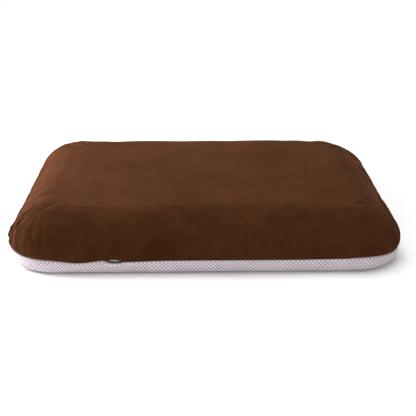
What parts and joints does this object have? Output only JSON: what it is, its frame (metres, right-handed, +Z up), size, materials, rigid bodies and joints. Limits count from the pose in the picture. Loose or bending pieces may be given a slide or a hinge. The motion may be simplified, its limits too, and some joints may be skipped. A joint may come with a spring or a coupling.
{
  "type": "pet cushion bed",
  "caption": "Low rectangular pet cushion with rounded corners, a domed plush top, a dotted non-slip base, a zipped cover and a removable fibre-filled pad.",
  "frame": {"origin": "on the floor, under the middle of the bed", "axes": "+Z up, +X along the bed's long side, -Y towards the side with the zip"},
  "size_m": [0.737, 0.533, 0.1],
  "materials": {
    "plush": "short brown plush pile",
    "grip_fabric": "lavender-grey woven base cloth",
    "grip_dots": "pale soft printed dots",
    "binding": "plain woven binding tape",
    "dark_thread": "brown polyester thread",
    "liner": "white non-woven lining",
    "pale_thread": "white polyester thread",
    "fibre": "loose white polyester fibre",
    "zip_tape": "grey woven zip tape",
    "zip_coil": "grey nylon coil",
    "zip_metal": "dull grey die-cast metal"
  },
  "bodies": {
    "bed": {"top_cover": "plush", "bottom_cover": "grip_fabric", "grip_dots": "grip_dots", "seam_binding": "binding", "seam_thread": "dark_thread", "liner_top": "liner", "liner_bottom": "liner", "liner_thread": "pale_thread", "fibre_fill": "fibre", "zip_tape_upper": "zip_tape", "zip_tape_lower": "zip_tape", "zip_coil_upper": "zip_coil", "zip_coil_lower": "zip_coil", "zip_end_stops": "zip_metal", "zip_bottom_stop": "zip_metal", "zip_tack_closed": "dark_thread", "zip_tack_open": "dark_thread", "zip_stitch_upper": "dark_thread", "zip_stitch_lower": "dark_thread"},
    "slider": {"zip_slider": "zip_metal"},
    "pull": {"zip_pull": "zip_metal"}
  },
  "joints": [
    {"name": "zip_slide", "type": "slide", "parent": "bed", "child": "slider", "axis": [1, 0, 0], "range_m": [0, 0.407]},
    {"name": "pull_swing", "type": "hinge", "parent": "slider", "child": "pull", "pos_m": [-0.1605, -0.25945, 0.03], "axis": [0, 0, 1], "range_deg": [0, 180]}
  ]
}
